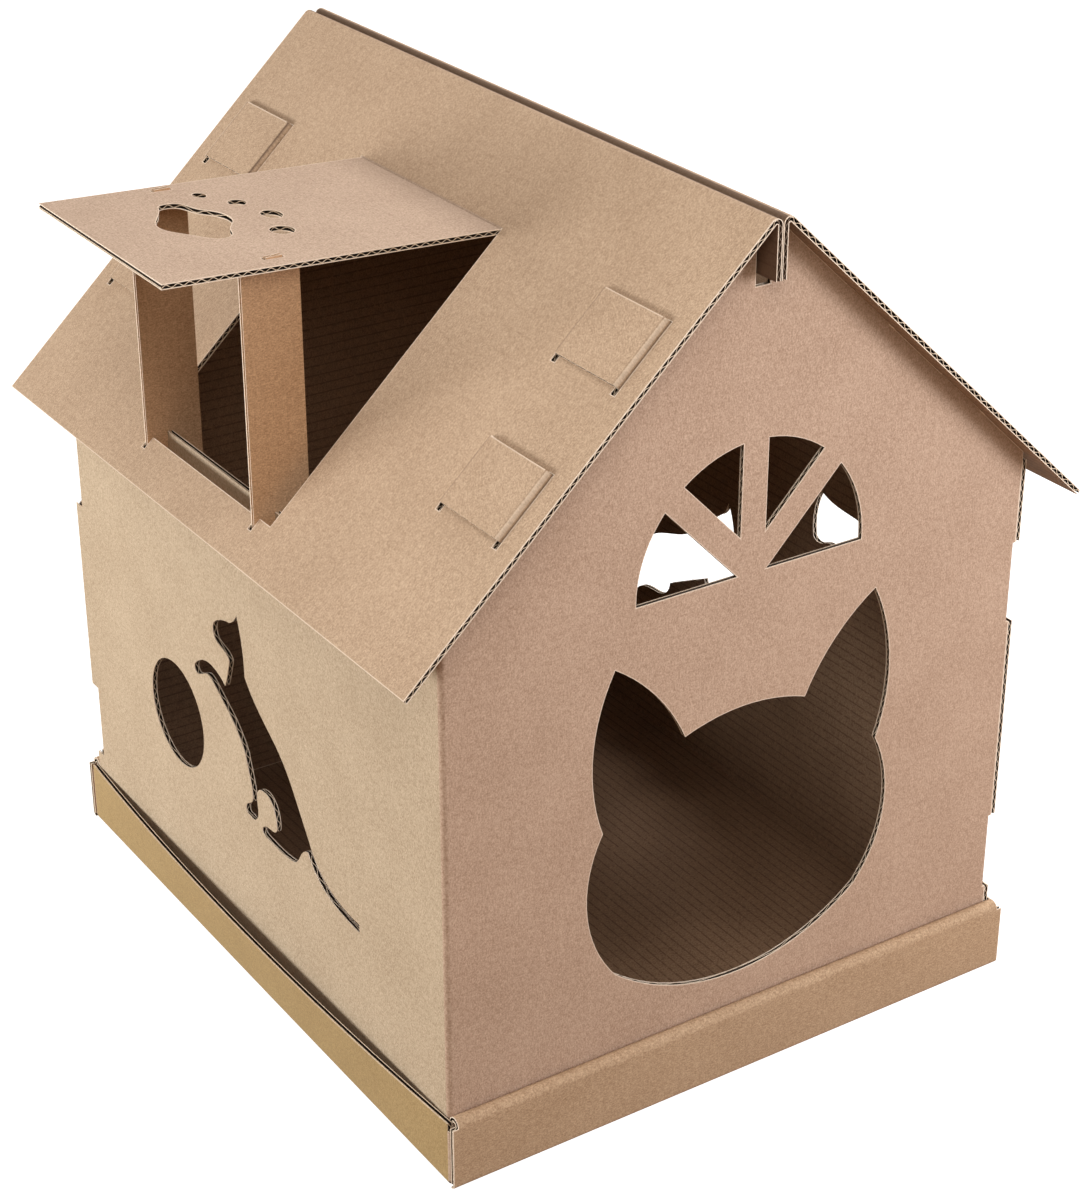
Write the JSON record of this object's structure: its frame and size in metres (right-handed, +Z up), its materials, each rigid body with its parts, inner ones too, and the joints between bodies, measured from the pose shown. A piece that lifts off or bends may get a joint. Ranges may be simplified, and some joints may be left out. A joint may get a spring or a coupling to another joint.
{
  "type": "cardboard cat house",
  "caption": "Gabled cardboard cat house in a shallow tray, with a cat head doorway, a fan window, a propped skylight flap, tabbed roof and cut-out kittens.",
  "frame": {"origin": "middle of the tray's underside, where it stands on the floor", "axes": "+Z up; -Y towards the front gable; -X towards the side with the skylight; the height along +Z is the longest size"},
  "size_m": [0.4655, 0.464, 0.5068],
  "materials": {
    "kraft_board": "matte"
  },
  "bodies": {
    "tray": {"tray_floor": "kraft_board", "tray_front_wall": "kraft_board", "tray_back_wall": "kraft_board", "tray_left_wall": "kraft_board", "tray_right_wall": "kraft_board", "tray_flap_front_left": "kraft_board", "tray_flap_front_right": "kraft_board", "tray_flap_back_left": "kraft_board", "tray_flap_back_right": "kraft_board"},
    "house": {"front_wall": "kraft_board", "back_wall": "kraft_board", "left_wall": "kraft_board", "right_wall": "kraft_board", "front_hook_lower": "kraft_board", "front_hook_upper": "kraft_board", "back_hook_lower": "kraft_board", "back_hook_upper": "kraft_board", "roof_left": "kraft_board", "roof_right": "kraft_board", "post_front": "kraft_board", "post_back": "kraft_board"},
    "skylight": {"skylight_flap": "kraft_board"},
    "tab_front_left_upper": {"tab_front_left_upper": "kraft_board"},
    "tab_front_left_lower": {"tab_front_left_lower": "kraft_board"},
    "tab_front_right_upper": {"tab_front_right_upper": "kraft_board"},
    "tab_front_right_lower": {"tab_front_right_lower": "kraft_board"},
    "tab_back_left_upper": {"tab_back_left_upper": "kraft_board"},
    "tab_back_left_lower": {"tab_back_left_lower": "kraft_board"},
    "tab_back_right_upper": {"tab_back_right_upper": "kraft_board"},
    "tab_back_right_lower": {"tab_back_right_lower": "kraft_board"}
  },
  "joints": [
    {"name": "house_lift", "type": "slide", "parent": "tray", "child": "house", "axis": [0, 0, 1], "range_m": [0, 0.065]},
    {"name": "skylight_hinge", "type": "hinge", "parent": "house", "child": "skylight", "pos_m": [-0.05277, 0.0108, 0.4604], "axis": [0, 1, 0], "range_deg": [0, 44]},
    {"name": "tab_front_left_upper_hinge", "type": "hinge", "parent": "house", "child": "tab_front_left_upper", "pos_m": [-0.07101, -0.2163, 0.44739], "axis": [0.729, 0, 0.6845], "range_deg": [0, 90]},
    {"name": "tab_front_left_lower_hinge", "type": "hinge", "parent": "house", "child": "tab_front_left_lower", "pos_m": [-0.1388, -0.2163, 0.38373], "axis": [0.729, 0, 0.6845], "range_deg": [0, 90]},
    {"name": "tab_front_right_upper_hinge", "type": "hinge", "parent": "house", "child": "tab_front_right_upper", "pos_m": [0.07101, -0.2163, 0.44739], "axis": [0.729, 0, -0.6845], "range_deg": [0, 90]},
    {"name": "tab_front_right_lower_hinge", "type": "hinge", "parent": "house", "child": "tab_front_right_lower", "pos_m": [0.1388, -0.2163, 0.38373], "axis": [0.729, 0, -0.6845], "range_deg": [0, 90]},
    {"name": "tab_back_left_upper_hinge", "type": "hinge", "parent": "house", "child": "tab_back_left_upper", "pos_m": [-0.07101, 0.2163, 0.44739], "axis": [-0.729, 0, -0.6845], "range_deg": [0, 90]},
    {"name": "tab_back_left_lower_hinge", "type": "hinge", "parent": "house", "child": "tab_back_left_lower", "pos_m": [-0.1388, 0.2163, 0.38373], "axis": [-0.729, 0, -0.6845], "range_deg": [0, 90]},
    {"name": "tab_back_right_upper_hinge", "type": "hinge", "parent": "house", "child": "tab_back_right_upper", "pos_m": [0.07101, 0.2163, 0.44739], "axis": [-0.729, 0, 0.6845], "range_deg": [0, 90]},
    {"name": "tab_back_right_lower_hinge", "type": "hinge", "parent": "house", "child": "tab_back_right_lower", "pos_m": [0.1388, 0.2163, 0.38373], "axis": [-0.729, 0, 0.6845], "range_deg": [0, 90]}
  ]
}
